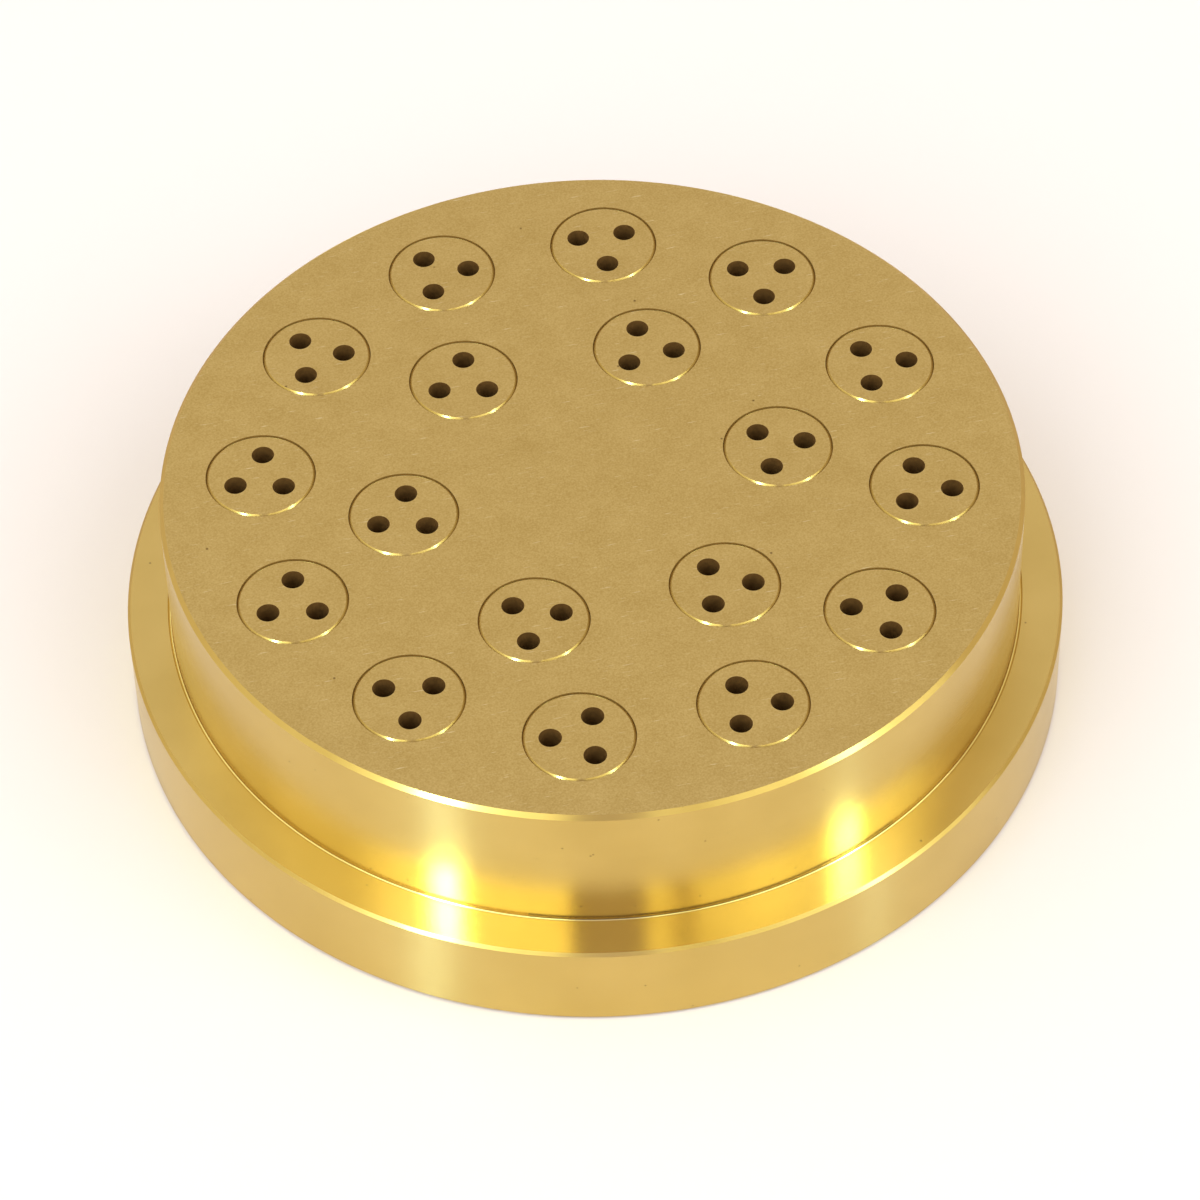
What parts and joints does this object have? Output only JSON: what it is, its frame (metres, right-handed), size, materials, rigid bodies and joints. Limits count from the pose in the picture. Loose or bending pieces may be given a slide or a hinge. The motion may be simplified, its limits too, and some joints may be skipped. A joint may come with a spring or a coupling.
{
  "type": "pasta extrusion die",
  "caption": "Round flanged brass disc carrying rings of drilled inserts; dough pressed in from the back leaves through their holes as spaghetti strands.",
  "frame": {"origin": "centre of the flange's back face, on the die's axis", "axes": "+Z along the die's axis, from the back towards the drilled front face; +X through the first inner insert"},
  "size_m": [0.078, 0.078, 0.021],
  "materials": {
    "turned_brass": "turned and lapped, satin",
    "insert_brass": "turned, drilled and lapped, satin"
  },
  "bodies": {
    "root": {"die_body": "turned_brass", "outer_insert_01": "insert_brass", "outer_insert_02": "insert_brass", "outer_insert_03": "insert_brass", "outer_insert_04": "insert_brass", "outer_insert_05": "insert_brass", "outer_insert_06": "insert_brass", "outer_insert_07": "insert_brass", "outer_insert_08": "insert_brass", "outer_insert_09": "insert_brass", "outer_insert_10": "insert_brass", "outer_insert_11": "insert_brass", "outer_insert_12": "insert_brass", "inner_insert_01": "insert_brass", "inner_insert_02": "insert_brass", "inner_insert_03": "insert_brass", "inner_insert_04": "insert_brass", "inner_insert_05": "insert_brass", "inner_insert_06": "insert_brass"}
  },
  "joints": []
}
